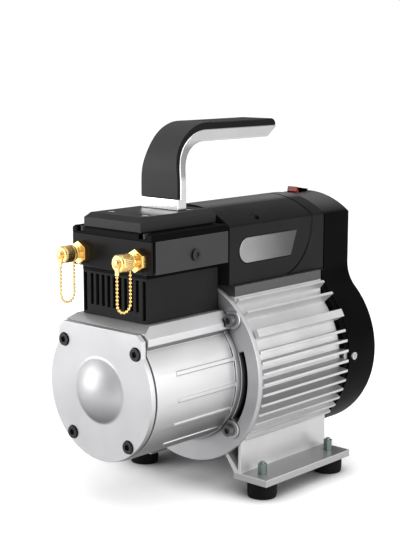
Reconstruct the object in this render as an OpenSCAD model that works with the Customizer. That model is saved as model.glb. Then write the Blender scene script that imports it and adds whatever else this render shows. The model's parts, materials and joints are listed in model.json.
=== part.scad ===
// Refrigerant recovery machine: an oil-less piston compressor on the front of a
// finned motor, with two capped brass ports, a carrying handle and a fan cowl.
// X is across, Y runs along the motor shaft from front to rear, Z is up.
// Heights in the modules of the drive are counted from the shaft's centre line.

/* [Base] */
// Height of the shaft above the ground
axis_h = 101; // [98:0.5:108]
// Radius of a rubber foot
foot_r = 12.5; // [9:0.5:13]
// Height of a rubber foot
foot_h = 13; // [9:0.5:15]
// Distance of the feet from the middle
foot_x = 69; // [68.6:0.1:70]
// Distance of a foot's centre from the end of the base flange
foot_inset = 12.5; // [12:0.5:20]
// Distance of the base flange's outer edge from the middle
flange_half = 83.6; // [83:0.2:90]
// Thickness of the base flange
flange_t = 6; // [4:0.5:7]
// Distance of the legs' outer face from the middle
leg_half = 56; // [54:0.5:56]
// Thickness of a leg's walls
leg_t = 2.8; // [2:0.2:3.4]

/* [Motor] */
// Length of the finned housing
motor_len = 115; // [110:1:130]
// Radius at the tips of the side fins
fin_tip_r = 81; // [77:0.5:84]
// Radius at the tips of the long upper fins
top_fin_r = 84; // [82:0.5:86]
// Radius at the roots of the fins
fin_root_r = 71; // [70:0.5:73]
// Thickness of a fin
fin_t = 2.4; // [1.6:0.2:3]
// Angle between side fins
fin_pitch = 6.4; // [5:0.2:8]
// Radius of the bore that holds the stator
stator_r = 62; // [58:0.5:64]
// Radius of the chambers at the ends of the housing
chamber_r = 68.4; // [66:0.2:69]
// Depth of those chambers
chamber_len = 19; // [15:1:22]
// Half width of the flat pad on top
pad_half = 49; // [46:0.5:50]
// Height of the pad above the shaft
pad_h = 75; // [73:0.5:78]
// Radius of the front bell
bell_r = 79.4; // [77:0.2:82]
// Thickness of the front bell
bell_t = 5.5; // [4:0.5:7]
// Thickness of the rear bell
rear_bell_t = 9; // [7:0.5:10]
// Radius of the shaft
shaft_r = 7.5; // [6:0.25:8]
// Radius of a shaft bearing
bearing_r = 17.5; // [16:0.5:18]
// Width of a shaft bearing
bearing_w = 11; // [9:0.5:12]
// Inner radius of the stator
air_gap_r = 36; // [32:0.5:40]

/* [Crankcase] */
// Radius of the front cover
cover_r = 57.5; // [56:0.5:58]
// Thickness of the front cover
cover_t = 5; // [4:0.5:7]
// Thickness of the cover's gasket
gasket_t = 0.8; // [0.5:0.1:1.5]
// Radius of the cover's dome
dome_r = 24; // [21:0.5:25]
// Height of the dome
dome_h = 11; // [8.5:0.5:12]
// Fillet between the dome and the cover
dome_fillet = 4; // [2:0.5:6]
// Radius of the crankcase's drum
drum_r = 58.5; // [58:0.5:60]
// Length of the crankcase
case_len = 94.9; // [92:0.1:100]
// Radius of the crank chamber
cavity_r = 46; // [44:0.5:47]
// Height of the deck above the shaft
deck_h = 55.5; // [54:0.5:58]
// Half width of the deck
deck_half = 41; // [39:0.5:43]

/* [Compressor] */
// Stroke of the piston
stroke = 12; // [8:1:12]
// Radius of the piston
piston_r = 19.9; // [19:0.1:21]
// Length of the piston
piston_len = 30; // [28:0.5:31]
// Radius of the eccentric
eccentric_r = 15; // [14:0.5:16]
// Outer radius of the crank bearing
crank_bearing_r = 23; // [20:0.5:24]
// Width of the connecting rod
rod_w = 14; // [12:1:18]

/* [Head] */
// Distance of the head's front from the front cover
head_y = 14.3; // [12:0.1:16]
// Length of the head
head_len = 88.4; // [88:0.1:89]
// How much narrower the head is than the top housing, on each side
head_step = 0.5; // [0:0.1:2]
// Half width of the shroud round the cylinder
shroud_half = 36; // [35.5:0.5:38]
// Height of the shroud
shroud_h = 35.5; // [33:0.5:38]
// Wall of the shroud
shroud_t = 3; // [2:0.5:3.5]
// Number of slots in the shroud's front
slot_count = 9; // [4:1:9]
// Height of the head block
block_h = 25.7; // [24:0.1:30]
// Thickness of the head cover
lid_h = 6; // [5:0.5:8]
// Half width of the top plate
plate_half = 32; // [30:0.5:34]
// Height of the top plate
plate_h = 11.3; // [10:0.1:14]

/* [Ports] */
// Distance of a port from the middle
port_x = 32; // [30:0.5:33]
// Height of a port above the head block's underside
port_h = 11; // [10:0.5:12]
// Radius of a port's thread
thread_r = 5.55; // [5:0.05:6]
// Radius of a cap
cap_r = 6.8; // [6.6:0.1:8]
// Length of a cap
cap_len = 12; // [11:0.5:14]
// Radius of a bead of the chain
bead_r = 1.2; // [0.8:0.1:1.3]
// Length that a chain hangs below the port
chain_drop = 38.5; // [30:0.5:40]

/* [Handle] */
// Distance of the leg's front from the front cover
handle_y = 68.5; // [66:0.5:72]
// Height of the grip above the top plate
handle_rise = 69; // [64:1:80]
// Length of the handle from its leg to its tip
handle_len = 128; // [115:1:140]
// Half width at the foot
handle_half = 20.5; // [18:0.5:22]
// Half width at the grip
grip_half = 16.5; // [14:0.5:18]
// Outer radius of the bend
bend_r = 39.5; // [38:0.5:42]

/* [Housing and cowl] */
// Half width of the top housing
box_half = 45; // [43:0.5:46]
// Height of the top housing's flat sides
box_side_h = 48.5; // [46:0.5:54]
// Height of its crowned roof
crown_h = 15.5; // [12:0.5:18]
// Wall of the housing and the cowl
wall = 2.5; // [2:0.1:3]
// Radius of the cowl round the fan
cowl_r = 77.5; // [76.5:0.5:80]
// Depth of the cowl
cowl_len = 39; // [37:0.5:45]
// Gap between the fins and the cowl
cowl_gap = 5.8; // [4:0.2:6]
// Fillet between the cowl's round part and its neck
neck_fillet = 30; // [24:1:36]

/* [Hidden] */
$fn = 72;
fit = 0.1;
seat = 0.02;
running = 0.05;
e = 0.01;

// Radii of the small, middle and large screws
small_r = 2;
middle_r = 2.5;
large_r = 3;

// Stations along the shaft
case_y = cover_t + gasket_t;
bell_y = case_y + case_len;
motor_y = bell_y + bell_t;
motor_end = motor_y + motor_len;
cowl_y = motor_end + cowl_gap;
cowl_end = cowl_y + cowl_len;
head_end = head_y + head_len;
cyl_y = head_y + head_len / 2;
box_y = head_end + 1.3;
neck_y = cowl_y + 3.5;
inlet_proud = 1.5;

// Heights above the ground
flange_z = foot_h + flange_t;
deck_z = axis_h + deck_h;
valve_z = deck_z + shroud_h;
valve_t = 3;
reed_t = 0.4;
head_gasket_t = 1;
block_z = valve_z + valve_t + head_gasket_t;
lid_z = block_z + block_h;
plate_z = lid_z + lid_h;
plate_top = plate_z + plate_h;
port_z = block_z + port_h;
box_z = axis_h + pad_h;
crease_z = box_z + box_side_h;
crown_z = crease_z + crown_h;

// Motor details
side_fins = 10;
side_fin_top = 17.6;
top_fins = [42, 51];
rib_angle = 28.5;
rib_t = 7;
bottom_fins = 7;
stack_y = motor_y + chamber_len + 2;
stack_end = motor_end - chamber_len - 2;
slots = 24;
winding_r = 4;
slot_ring_r = air_gap_r + 11;
lug_angles = [0, 180, 240, 300];
hub_r = bearing_r + 6.5;
hub_len = 7;
slot_in_r = drum_r + 3;
slot_up = 21;
slot_down = 34;
fan_r = 62;
fan_clear = 2;
skirt_step = 1.5;
skirt_t = 4;
skirt_gap = 0.6;
fan_gap = 3;
fan_disc_t = 2;
fan_hub_r = 14;
fan_len = 17;
fan_blades = 9;
fan_blade_t = 2;
lug_half = 5;
lug_past = 9;
cowl_screw_in = 5;
cowl_screw_len = 10;
stud_proud = 10.5;
nut_r = 4;
nut_h = 9;

// Crankcase details
cover_top_h = deck_h - 4.7;
shoulder = [[-44.5, 37], [-49, 41.5], [-49, 47], [-deck_half, deck_h],
            [deck_half, deck_h], [49, 47], [49, 41.5], [44.5, 37]];
cover_shoulder = [[-47, 30], [-47, cover_top_h - 5], [-41.5, cover_top_h],
                  [41.5, cover_top_h], [47, cover_top_h - 5], [47, 30]];
cover_bore_r = 5.4;
cover_screw_at = [[-40.5, 35.6], [40.5, 35.6], [-31.7, -39.9], [31.7, -39.9]];
bolt_at = [[-52, 48.9], [52, 48.9], [-51.2, -43.4], [51.2, -43.4]];
ear_r = 8;
ear_t = 2;
bolt_head_r = 5;
bolt_head_h = 5;
rib_angles = [17.5, -3, -24.5, -46];
drum_rib_y = case_y + 23;
drum_rib_w = 3.4;
drum_rib_h = 1;

// Compressor details
crank = stroke / 2;
bore_r = piston_r + 0.1 + running;
sleeve_r = bore_r + 5;
cyl_fin_r = shroud_half - shroud_t - 1;
pin_r = 4;
eye_r = 8;
pin_below_crown = 25;
tdc_z = valve_z - reed_t - 0.6;
pin_z = tdc_z - pin_below_crown;
pin_rest_z = pin_z - axis_h - crank;
piston_cavity_r = piston_r - 3.9;
counterweight_r = 34;
counterweight_t = 10;
counterweight_drop = 6;

// Head details
head_half = box_half - head_step;
shroud_inset = 3;
shroud_y = head_y + shroud_inset;
shroud_end = head_end - shroud_inset;
panel_t = 2.2;
panel_y = head_y + 4.7;
bolt_x = shroud_half - shroud_t - 10.5;
head_bolt_at = [[-bolt_x, shroud_y + 8], [bolt_x, shroud_y + 8],
                [-bolt_x, shroud_end - 8], [bolt_x, shroud_end - 8]];
lid_screw_x = head_half - 9.5;
lid_screw_in = 5;
slot_pitch = 6.4;
slot_w = 3.2;
corner_slot_in = 1.2;
corner_slot_w = 3.2;
corner_slot_deep = 6;
corner_slot_end = 2;
wing_t = 1.5;
wing_deep = 5.2;
panel_screw_y = cyl_y + 5;
panel_screw_head_r = 4.8;
plate_screw_x = plate_half - 13;
plate_screw_in = 19;

// Port details
hex_r = 9.3;
hex_t = 6;
neck_r = 4.6;
hex_y = head_y - hex_t;
thread_y = hex_y - 5.6;
thread_len = 10.2;
cap_y = thread_y - 0.4;
cap_end = cap_y - cap_len;
swivel_t = 1;
rivet_r = 2;
ring_y = thread_y + 1.1;
swivel_y = cap_end - swivel_t / 2 - running;
bead_pitch = 2.8;
port_tail = 7;
rivet_head_r = 3.2;
rivet_head_t = 1.4;
rivet_y = cap_end - swivel_t - 2 * running - rivet_head_t;
mid_y = (rivet_y + cowl_end + inlet_proud) / 2;

// Handle details
grip_t = 5.8;
leg_pad_t = 3.5;
frame_leg_t = 7;
frame_grip_t = 9.6;
handle_foot_h = 9;
handle_tip = handle_y + handle_len;
handle_top = plate_top + handle_rise;
tip_rake = 12;
notch_count = 22;
handle_screw_head_r = 3.6;
handle_screw_head_h = 4;
handle_screw_sunk = 5.5;
handle_screw_grip = 14;

// Switch, inlet and box contents
switch_y = (neck_y + cowl_end) / 2;
switch_z = crown_z - 2.5;
bezel = [15, 22, 1.6];
rocker_half = 8.2;
rocker_tilt = 10;
rocker_wide = 5.4;
pivot_drop = 2;
pivot_r = 1.2;
pivot_half = 6.2;
rocker_low = pivot_drop + 1;
rocker_t = 4.4;
rocker_dish_r = 23;
inlet_z = box_z + 30;
inlet_w = 27;
inlet_h = 20;
inlet_depth = 17;
badge_y = box_y + 12;
badge_len = 75;
badge_h = 21;
badge_z = box_z + 17;
badge_t = 1.2;
box_screw_y = box_y + 40;
box_screw_x = box_half - 7;
// Radius of the housing's two screw pillars
box_pillar_r = 5.5;
capacitor_r = 18.9;
capacitor_in = 14;
capacitor_len = 70;
capacitor_neck_r = 8;
capacitor_neck_len = 4;
terminal = [18, 42, 16];
terminal_in = 50;
terminal_holes = 4;
terminal_pitch = 10;
terminal_hole_r = 3;

// Grille
grille_rings = 6;
grille_in_r = 16.6;
grille_slot = 4.4;
grille_pitch = 8;
spoke_w = 5;

// Shared shapes

module at_rest() translate([0, -mid_y, 0]) children();
module on_axis() translate([0, 0, axis_h]) children();
module both_sides() { children(); mirror([1, 0, 0]) children(); }

// A cylinder along Y from y0 to y1
module rod_y(r, y0, y1, x = 0, z = 0)
    translate([x, y0, z]) rotate([-90, 0, 0]) cylinder(r = r, h = y1 - y0);

// A cylinder along Z from z0 to z1
module rod_z(r, z0, z1, x = 0, y = 0)
    translate([x, y, z0]) cylinder(r = r, h = z1 - z0);

// A cylinder along X from x0 to x1
module rod_x(r, x0, x1, y = 0, z = 0)
    translate([x0, y, z]) rotate([0, 90, 0]) cylinder(r = r, h = x1 - x0);

// An outline in X and Z, extruded along Y
module along_y(y0, y1)
    translate([0, y1, 0]) rotate([90, 0, 0]) linear_extrude(y1 - y0) children();

// An outline in Y and Z, extruded along X
module along_x(x0, x1)
    translate([x0, 0, 0]) rotate([90, 0, 90]) linear_extrude(x1 - x0) children();

// A box given by its lowest and highest corners
module block(low, high) translate(low) cube(high - low);

// A hexagon socket screw along +Z with its head's seat at z = 0
module socket_screw(r, head_r, head_h, len) {
    difference() {
        cylinder(r = head_r, h = head_h);
        translate([0, 0, head_h * 0.4]) cylinder(r = head_r * 0.55, h = head_h, $fn = 6);
    }
    translate([0, 0, -len]) cylinder(r = r, h = len + e);
}

// Base

module foot_places()
    both_sides()
        for (y = [motor_y + foot_inset, motor_end - foot_inset])
            translate([foot_x, y, 0]) children();

module rubber_feet() color("#1a1a1a") foot_places() difference() {
    union() {
        cylinder(r1 = foot_r - 0.6, r2 = foot_r, h = foot_h * 0.25);
        translate([0, 0, foot_h * 0.25]) cylinder(r = foot_r, h = foot_h * 0.75);
    }
    translate([0, 0, foot_h * 0.35]) cylinder(r = small_r + fit, h = foot_h);
    translate([0, 0, -e]) cylinder(r = foot_r * 0.4, h = 2);
}

module foot_studs() color("#b9c2bf") foot_places() {
    rod_z(small_r, foot_h * 0.35 + fit, flange_z + stud_proud);
    translate([0, 0, flange_z]) difference() {
        cylinder(r = nut_r, h = nut_h, $fn = 6);
        translate([0, 0, -e]) cylinder(r = small_r - seat, h = nut_h + 1);
    }
}

// Motor

// One leg: an outer web and a slanted inner wall with a hollow between them
module leg_section() {
    base = flange_z - axis_h;
    web = leg_half - leg_t;
    web_top = -sqrt(pow(fin_root_r, 2) - pow(web, 2));
    inner_x = leg_half - 22;
    inner_top = -sqrt(pow(fin_root_r, 2) - pow(inner_x, 2));
    foot_in = web - 5;
    difference() {
        polygon([[leg_half, web_top + 9], [leg_half, base - flange_t], [foot_in, base - flange_t],
                 [foot_in, base], [inner_x, inner_top], [inner_x - 4, inner_top + 8]]);
        polygon([[web, web_top - 1], [web, base + 2], [foot_in + leg_t, base + 4],
                 [inner_x + leg_t + 1.5, inner_top - 1]]);
    }
}

module fin(angle, tip, thick)
    rotate(angle) translate([0, -thick / 2]) square([tip, thick]);

module motor_section() difference() {
    union() {
        circle(fin_root_r);
        both_sides() {
            for (i = [0 : side_fins - 1]) fin(side_fin_top - i * fin_pitch, fin_tip_r, fin_t);
            for (a = top_fins) fin(a, top_fin_r, fin_t);
            fin(rib_angle, top_fin_r, rib_t);
        }
        for (i = [0 : bottom_fins - 1])
            fin(-90 + (i - (bottom_fins - 1) / 2) * fin_pitch, fin_tip_r - 2, fin_t);
        translate([-pad_half, fin_root_r * 0.7]) square([2 * pad_half, pad_h - fin_root_r * 0.7]);
    }
    circle(fin_root_r - 2);
}

module motor_housing() color("#c9cbcc") difference() {
    on_axis() difference() {
        union() {
            rod_y(fin_root_r - 1, motor_y, motor_end);
            along_y(motor_y, motor_end) motor_section();
            both_sides() {
                along_y(motor_y, motor_end) leg_section();
                translate([leg_half - leg_t - 5, motor_y, flange_z - flange_t - axis_h])
                    cube([flange_half - leg_half + leg_t + 5, motor_len, flange_t]);
            }
        }
        rod_y(stator_r, motor_y - 1, motor_end + 1);
        rod_y(chamber_r, motor_y - 1, motor_y + chamber_len);
        rod_y(chamber_r, motor_end - chamber_len, motor_end + 1);
    }
    foot_places() rod_z(small_r + fit, foot_h - 1, flange_z + 1);
    both_sides() rod_z(small_r + fit, box_z - 5, box_z + 1, box_screw_x, box_screw_y);
}

// The sector in which a side slot of the front bell lies
module slot_sector()
    polygon([[0, 0], [bell_r, bell_r * tan(slot_up)], [bell_r, -bell_r * tan(slot_down)]]);

module motor_front_bell() color("#aeb2b6") on_axis() difference() {
    union() {
        intersection() {
            rod_y(bell_r, bell_y, motor_y);
            block([-bell_r, bell_y, -bell_r], [bell_r, motor_y, pad_h - 0.5]);
        }
        rod_y(hub_r, bell_y - hub_len, motor_y + 6);
        rod_y(chamber_r - fit, motor_y - e, motor_y + 3);
    }
    rod_y(shaft_r + 1.5, bell_y - hub_len - 1, motor_y + 7);
    rod_y(bearing_r + seat, motor_y + 6 - bearing_w, motor_y + 7);
    difference() {
        intersection() {
            rod_y(chamber_r - 1, bell_y - 1, motor_y + 4);
            along_y(bell_y - 1, motor_y + 4) both_sides() slot_sector();
        }
        rod_y(slot_in_r, bell_y - 2, motor_y + 5);
    }
    for (p = bolt_at) rod_y(large_r + fit, bell_y - 1, motor_y + 4, p[0], p[1]);
}

module motor_rear_bell() color("#a4a8ab") on_axis() difference() {
    union() {
        rod_y(chamber_r - fit, motor_end - 4, motor_end);
        rod_y(fin_root_r - 4, motor_end, motor_end + rear_bell_t);
        intersection() {
            rod_y(cowl_r - wall - fit, motor_end + 1, cowl_y + lug_past);
            union() {
                for (a = lug_angles)
                    rotate([0, -a, 0]) block([fan_r + fan_clear, motor_end + 1, -lug_half],
                                             [cowl_r, cowl_y + lug_past, lug_half]);
            }
        }
    }
    rod_y(shaft_r + 1.5, motor_end - 5, motor_end + rear_bell_t + 1);
    rod_y(bearing_r + seat, motor_end - 5, motor_end - 4 + bearing_w);
    for (a = lug_angles) rotate([0, -a, 0]) rod_x(small_r + fit, cowl_r - cowl_screw_len - 2, cowl_r,
                                                    cowl_y + cowl_screw_in, 0);
}

module stator_core() color("#7f8488") on_axis() difference() {
    rod_y(stator_r - seat, stack_y, stack_end);
    rod_y(air_gap_r, stack_y - 1, stack_end + 1);
    for (i = [0 : slots - 1]) rotate([0, i * 360 / slots, 0])
        rod_y(winding_r + fit, stack_y - 1, stack_end + 1, slot_ring_r, 0);
}

module stator_windings() color("#b5651d") on_axis() {
    for (y = [[stack_y - 12, stack_y - 0.5], [stack_end + 0.5, stack_end + 12]]) difference() {
        rod_y(slot_ring_r + 9, y[0], y[1]);
        rod_y(slot_ring_r - 8, y[0] - 1, y[1] + 1);
    }
    for (i = [0 : slots - 1]) rotate([0, i * 360 / slots, 0])
        rod_y(winding_r, stack_y - 1, stack_end + 1, slot_ring_r, 0);
}

module rotor_core() color("#8d9296") on_axis() difference() {
    union() {
        rod_y(air_gap_r - 0.5, stack_y, stack_end);
        rod_y(air_gap_r - 4, stack_y - 7, stack_end + 7);
    }
    rod_y(shaft_r + seat, stack_y - 8, stack_end + 8);
}

module motor_shaft() color("#b8bcc0") on_axis()
    rod_y(shaft_r, cover_t + 3 - bearing_w, cowl_end - 11);

module shaft_bearings() color("#9aa0a6") on_axis()
    for (y = [cover_t + 3 - bearing_w, motor_y + 6 - bearing_w, motor_end - 4]) difference() {
        rod_y(bearing_r, y, y + bearing_w);
        rod_y(shaft_r + running, y - 1, y + bearing_w + 1);
        for (g = [y - 1, y + bearing_w - 1]) difference() {
            rod_y(bearing_r - 3, g, g + 2);
            rod_y(shaft_r + 3, g - 1, g + 3);
        }
    }

module cooling_fan() color("#2b2b2b") on_axis() {
    y0 = motor_end + rear_bell_t + fan_gap;
    difference() {
        union() {
            rod_y(fan_r, y0, y0 + fan_disc_t);
            rod_y(fan_hub_r, y0, y0 + fan_len + 1);
            for (i = [0 : fan_blades - 1]) rotate([0, i * 360 / fan_blades, 0])
                block([fan_hub_r - 4, y0, -fan_blade_t / 2], [fan_r, y0 + fan_len, fan_blade_t / 2]);
        }
        rod_y(shaft_r + seat, y0 - 1, y0 + fan_len + 2);
    }
}

// Crankcase

module front_cover() color("#c3c5c8") on_axis() difference() {
    union() {
        cover_body(0, cover_t);
        rotate([90, 0, 0]) rotate_extrude() polygon(dome_profile);
        rod_y(bearing_r + 4, cover_t - e, cover_t + 3);
    }
    rod_y(bearing_r + seat, cover_t + 3 - bearing_w, cover_t + 4);
    for (p = cover_screw_at) {
        rod_y(large_r + fit, -1, cover_t + 1, p[0], p[1]);
        rod_y(cover_bore_r, -1, 2.5, p[0], p[1]);
    }
}

// The dome's profile: a ball that runs into the fillet at its foot
dome_foot = dome_r + dome_fillet;
dome_ball = (pow(dome_foot, 2) - 2 * dome_fillet * dome_h + pow(dome_h, 2)) / (2 * dome_h);
dome_turn = asin(dome_foot / (dome_ball + dome_fillet));
dome_profile = concat(
    [[0, -e]],
    [for (i = [0 : 12]) let (a = dome_turn * i / 12)
        [dome_ball * sin(a), dome_h - dome_ball * (1 - cos(a))]],
    [for (i = [5 : -1 : 0]) let (a = dome_turn * i / 6)
        [dome_foot - dome_fillet * sin(a), dome_fillet * (1 - cos(a))]],
    [[dome_foot, -e]]);

// The cover's outline, a disc with a squared top, from y0 to y1
module cover_body(y0, y1) difference() {
    union() {
        rod_y(cover_r, y0, y1);
        along_y(y0, y1) polygon(cover_shoulder);
    }
    block([-cover_r, y0 - 1, cover_top_h], [cover_r, y1 + 1, cover_r + 1]);
}

module cover_gasket() color("#2f3336") on_axis() difference() {
    cover_body(cover_t, case_y);
    rod_y(cavity_r, cover_t - 1, case_y + 1);
    for (p = cover_screw_at) rod_y(large_r + fit, cover_t - 1, case_y + 1, p[0], p[1]);
}

module cover_screws() color("#202124") on_axis()
    for (p = cover_screw_at)
        translate([p[0], 2.5, p[1]]) rotate([90, 0, 0]) socket_screw(large_r, 5, 4, cover_t + 10);

module crankcase() color("#c6c8ca") difference() {
    on_axis() difference() {
        union() {
            along_y(case_y, bell_y) { circle(drum_r); polygon(shoulder); }
            both_sides() for (a = rib_angles) rotate([0, -a, 0])
                block([drum_r - 4, drum_rib_y, -drum_rib_w / 2],
                      [drum_r + drum_rib_h, bell_y - 1, drum_rib_w / 2]);
            rod_y(slot_in_r - 1, bell_y - 5, bell_y);
            for (p = bolt_at) rod_y(ear_r, bell_y - ear_t, bell_y, p[0], p[1]);
        }
        along_x(-60, 60) polygon([[case_y - 1, cover_top_h], [case_y, cover_top_h],
            [case_y + 9, deck_h], [case_y + 9, deck_h + 1], [case_y - 1, deck_h + 1]]);
        block([-slot_in_r, case_y - 1, deck_h], [slot_in_r, bell_y + 1, slot_in_r]);
        rod_y(cavity_r, case_y - 1, bell_y - 9);
        rod_y(hub_r + fit, bell_y - 10, bell_y + 1);
        for (p = cover_screw_at) rod_y(large_r + fit, case_y - 1, case_y + 14, p[0], p[1]);
        for (p = bolt_at) {
            rod_y(large_r + fit, bell_y - 9, bell_y + 1, p[0], p[1]);
            rod_y(bolt_head_r + 1, bell_y - ear_t - bolt_head_h - 1, bell_y - ear_t, p[0], p[1]);
        }
    }
    rod_z(sleeve_r + fit, axis_h, deck_z + 1, 0, cyl_y);
    for (p = head_bolt_at) rod_z(middle_r + fit, deck_z - 7, deck_z + 1, p[0], p[1]);
}

module crankcase_bolts() color("#4a4d50") on_axis()
    for (p = bolt_at)
        translate([p[0], bell_y - ear_t, p[1]]) rotate([90, 0, 0])
            socket_screw(large_r, bolt_head_r, bolt_head_h, ear_t + bell_t - 0.5);

// Crank and piston

module eccentric() color("#8f9498") on_axis() difference() {
    rod_y(eccentric_r, cyl_y - rod_w / 2 - 1, cyl_y + rod_w / 2 + 1, 0, crank);
    rod_y(shaft_r + seat, cyl_y - rod_w, cyl_y + rod_w);
}

module counterweight() color("#777c80") on_axis() difference() {
    y0 = cyl_y + rod_w / 2 + 1.5;
    intersection() {
        rod_y(counterweight_r, y0, y0 + counterweight_t);
        union() {
            block([-counterweight_r, y0, -counterweight_r],
                  [counterweight_r, y0 + counterweight_t, -counterweight_drop]);
            rod_y(shaft_r + 6, y0, y0 + counterweight_t);
        }
    }
    rod_y(shaft_r + seat, y0 - 1, y0 + counterweight_t + 1);
}

module crank_bearing() color("#9aa0a6") on_axis() difference() {
    rod_y(crank_bearing_r - seat, cyl_y - rod_w / 2, cyl_y + rod_w / 2, 0, crank);
    rod_y(eccentric_r + running, cyl_y - rod_w, cyl_y + rod_w, 0, crank);
}

module connecting_rod() color("#b9bdc0") on_axis() difference() {
    big_r = crank_bearing_r + 5;
    union() {
        rod_y(big_r, cyl_y - rod_w / 2, cyl_y + rod_w / 2, 0, crank);
        rod_y(eye_r, cyl_y - rod_w / 2, cyl_y + rod_w / 2, 0, crank + pin_rest_z);
        along_y(cyl_y - rod_w / 2 + 3, cyl_y + rod_w / 2 - 3)
            polygon([[-10, crank + big_r - 3], [10, crank + big_r - 3],
                     [6, crank + pin_rest_z - 4], [-6, crank + pin_rest_z - 4]]);
    }
    rod_y(crank_bearing_r, cyl_y - rod_w, cyl_y + rod_w, 0, crank);
    rod_y(pin_r + seat, cyl_y - rod_w, cyl_y + rod_w, 0, crank + pin_rest_z);
}

module wrist_pin() color("#d0d3d6")
    rod_y(pin_r, cyl_y - 11.5, cyl_y + 11.5, 0, pin_z);

module piston() color("#c2c5c8") translate([0, cyl_y, 0]) difference() {
    rod_z(piston_r, tdc_z - piston_len, tdc_z);
    rod_z(piston_cavity_r, tdc_z - piston_len - 1, tdc_z - 4);
    difference() {
        rod_z(piston_r + 1, tdc_z - 8, tdc_z - 5);
        rod_z(piston_r - 2, tdc_z - 9, tdc_z - 4);
    }
}

module piston_seal() color("#ded8c8") translate([0, cyl_y, 0]) difference() {
    rod_z(piston_r + 0.1, tdc_z - 7.9, tdc_z - 5.1);
    rod_z(piston_r - 1.9, tdc_z - 9, tdc_z - 4);
}

module barrel_profile() {
    translate([bore_r, 0]) square([sleeve_r - bore_r, valve_z - deck_z + 10]);
    translate([bore_r, 10]) square([sleeve_r - bore_r + 4, 4]);
    for (i = [1 : 5]) translate([bore_r, 10 + i * 5.6]) square([cyl_fin_r - bore_r, 2]);
}

module cylinder_barrel() color("#a9adb0") translate([0, cyl_y, deck_z - 10])
    rotate_extrude() barrel_profile();

// Head

module head_shroud() color("#2e2f30") difference() {
    block([-shroud_half, shroud_y, deck_z], [shroud_half, shroud_end, valve_z]);
    block([-shroud_half + shroud_t, shroud_y + shroud_t, deck_z - 1],
          [shroud_half - shroud_t, shroud_end - shroud_t, valve_z + 1]);
    for (i = [0 : slot_count - 1])
        translate([(i - (slot_count - 1) / 2) * slot_pitch, 0, 0])
            block([-slot_w / 2, shroud_y - 1, deck_z + 8],
                  [slot_w / 2, shroud_y + shroud_t + 1, valve_z - 2]);
    both_sides()
        block([shroud_half - corner_slot_in - corner_slot_w, shroud_y - 1, deck_z + corner_slot_end],
              [shroud_half - corner_slot_in, shroud_y + corner_slot_deep, valve_z - corner_slot_end]);
}

module bolt_holes(z0, z1)
    for (p = head_bolt_at) rod_z(middle_r + fit, z0, z1, p[0], p[1]);

module valve_plate() color("#8a8f93") difference() {
    block([-shroud_half, shroud_y, valve_z], [shroud_half, shroud_end, valve_z + valve_t]);
    both_sides() rod_z(3, valve_z - 1, valve_z + 5, 9, cyl_y);
    bolt_holes(valve_z - 1, valve_z + 5);
}

module reed(x, z) difference() {
    union() {
        rod_z(4.5, z, z + reed_t, x, cyl_y);
        block([x - 3.2, cyl_y, z], [x + 3.2, cyl_y + 12, z + reed_t]);
    }
    rod_z(0.8, z - 1, z + 1, x, cyl_y + 10);
}
module suction_reed() color("#b0b5b9") reed(-9, valve_z - reed_t);
module discharge_reed() color("#b0b5b9") reed(9, valve_z + valve_t);

module chambers(z0, z1) both_sides()
    block([4, shroud_y + 14, z0], [shroud_half - 2, shroud_end - 14, z1]);

module head_gasket() color("#3a3d40") difference() {
    block([-shroud_half, shroud_y, valve_z + valve_t], [shroud_half, shroud_end, block_z]);
    chambers(valve_z, block_z + 1);
    bolt_holes(valve_z, block_z + 1);
}

module head_block() color("#2a2b2c") difference() {
    inner = head_half - panel_t;
    union() {
        block([-inner, head_y, block_z], [inner, head_end, lid_z]);
        block([-head_half, head_y, block_z], [head_half, head_y + wing_t, lid_z]);
    }
    chambers(block_z - 1, block_z + block_h * 0.72);
    both_sides() {
        rod_y(thread_r + fit, head_y - 1, shroud_y + 15, port_x, port_z);
        rod_x(small_r + fit, inner - 5, inner + 1, panel_screw_y, port_z);
        block([head_half - wing_deep, head_y + wing_t, block_z - 1], [head_half, panel_y, lid_z + 1]);
    }
    bolt_holes(block_z - 1, lid_z + 1);
    for (p = head_bolt_at) rod_z(5.5, lid_z - 6, lid_z + 1, p[0], p[1]);
    lid_screw_places() rod_z(small_r + fit, lid_z - 10, lid_z + 1);
}

module head_bolts() color("#55595c")
    for (p = head_bolt_at)
        translate([p[0], p[1], lid_z - 6]) socket_screw(middle_r, 4.6, 5, lid_z - 6 - deck_z + 6);

module lid_screw_places()
    both_sides() for (y = [head_y + lid_screw_in, head_end - lid_screw_in])
        translate([lid_screw_x, y, 0]) children();

module head_cover() color("#1d1d1e") difference() {
    intersection() {
        along_y(head_y, head_end) chamfered(head_half, lid_z, plate_z, 1.5);
        along_x(-head_half, head_half) translate([cyl_y, 0]) chamfered(head_len / 2, lid_z, plate_z, 1.5);
    }
    lid_screw_places() {
        rod_z(small_r + fit, lid_z - 1, plate_z);
        rod_z(4.2, lid_z + 1.5, plate_z + 1);
    }
    both_sides() for (y = [[head_y - 1, head_y + lid_screw_in], [head_end - lid_screw_in, head_end + 1]])
        block([lid_screw_x - 4.2, y[0], lid_z + 1.5], [lid_screw_x + 4.2, y[1], plate_z + 1]);
    plate_screw_places() rod_z(small_r + fit, lid_z - 1, plate_z + 1);
}

// A flat-bottomed outline whose upper corners are cut off
module chamfered(half, z0, z1, cut)
    polygon([[-half, z0], [half, z0], [half, z1 - cut], [half - cut, z1],
             [cut - half, z1], [-half, z1 - cut]]);

module head_cover_screws() color("#222325")
    lid_screw_places() translate([0, 0, lid_z + 1.5]) socket_screw(small_r, 3.5, 4, 10);

module side_panels() color("#3c3d3f") both_sides() difference() {
    block([head_half - panel_t, panel_y, block_z], [head_half, head_end, lid_z]);
    rod_x(small_r + fit, head_half - 5, head_half + 1, panel_screw_y, port_z);
}

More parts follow.
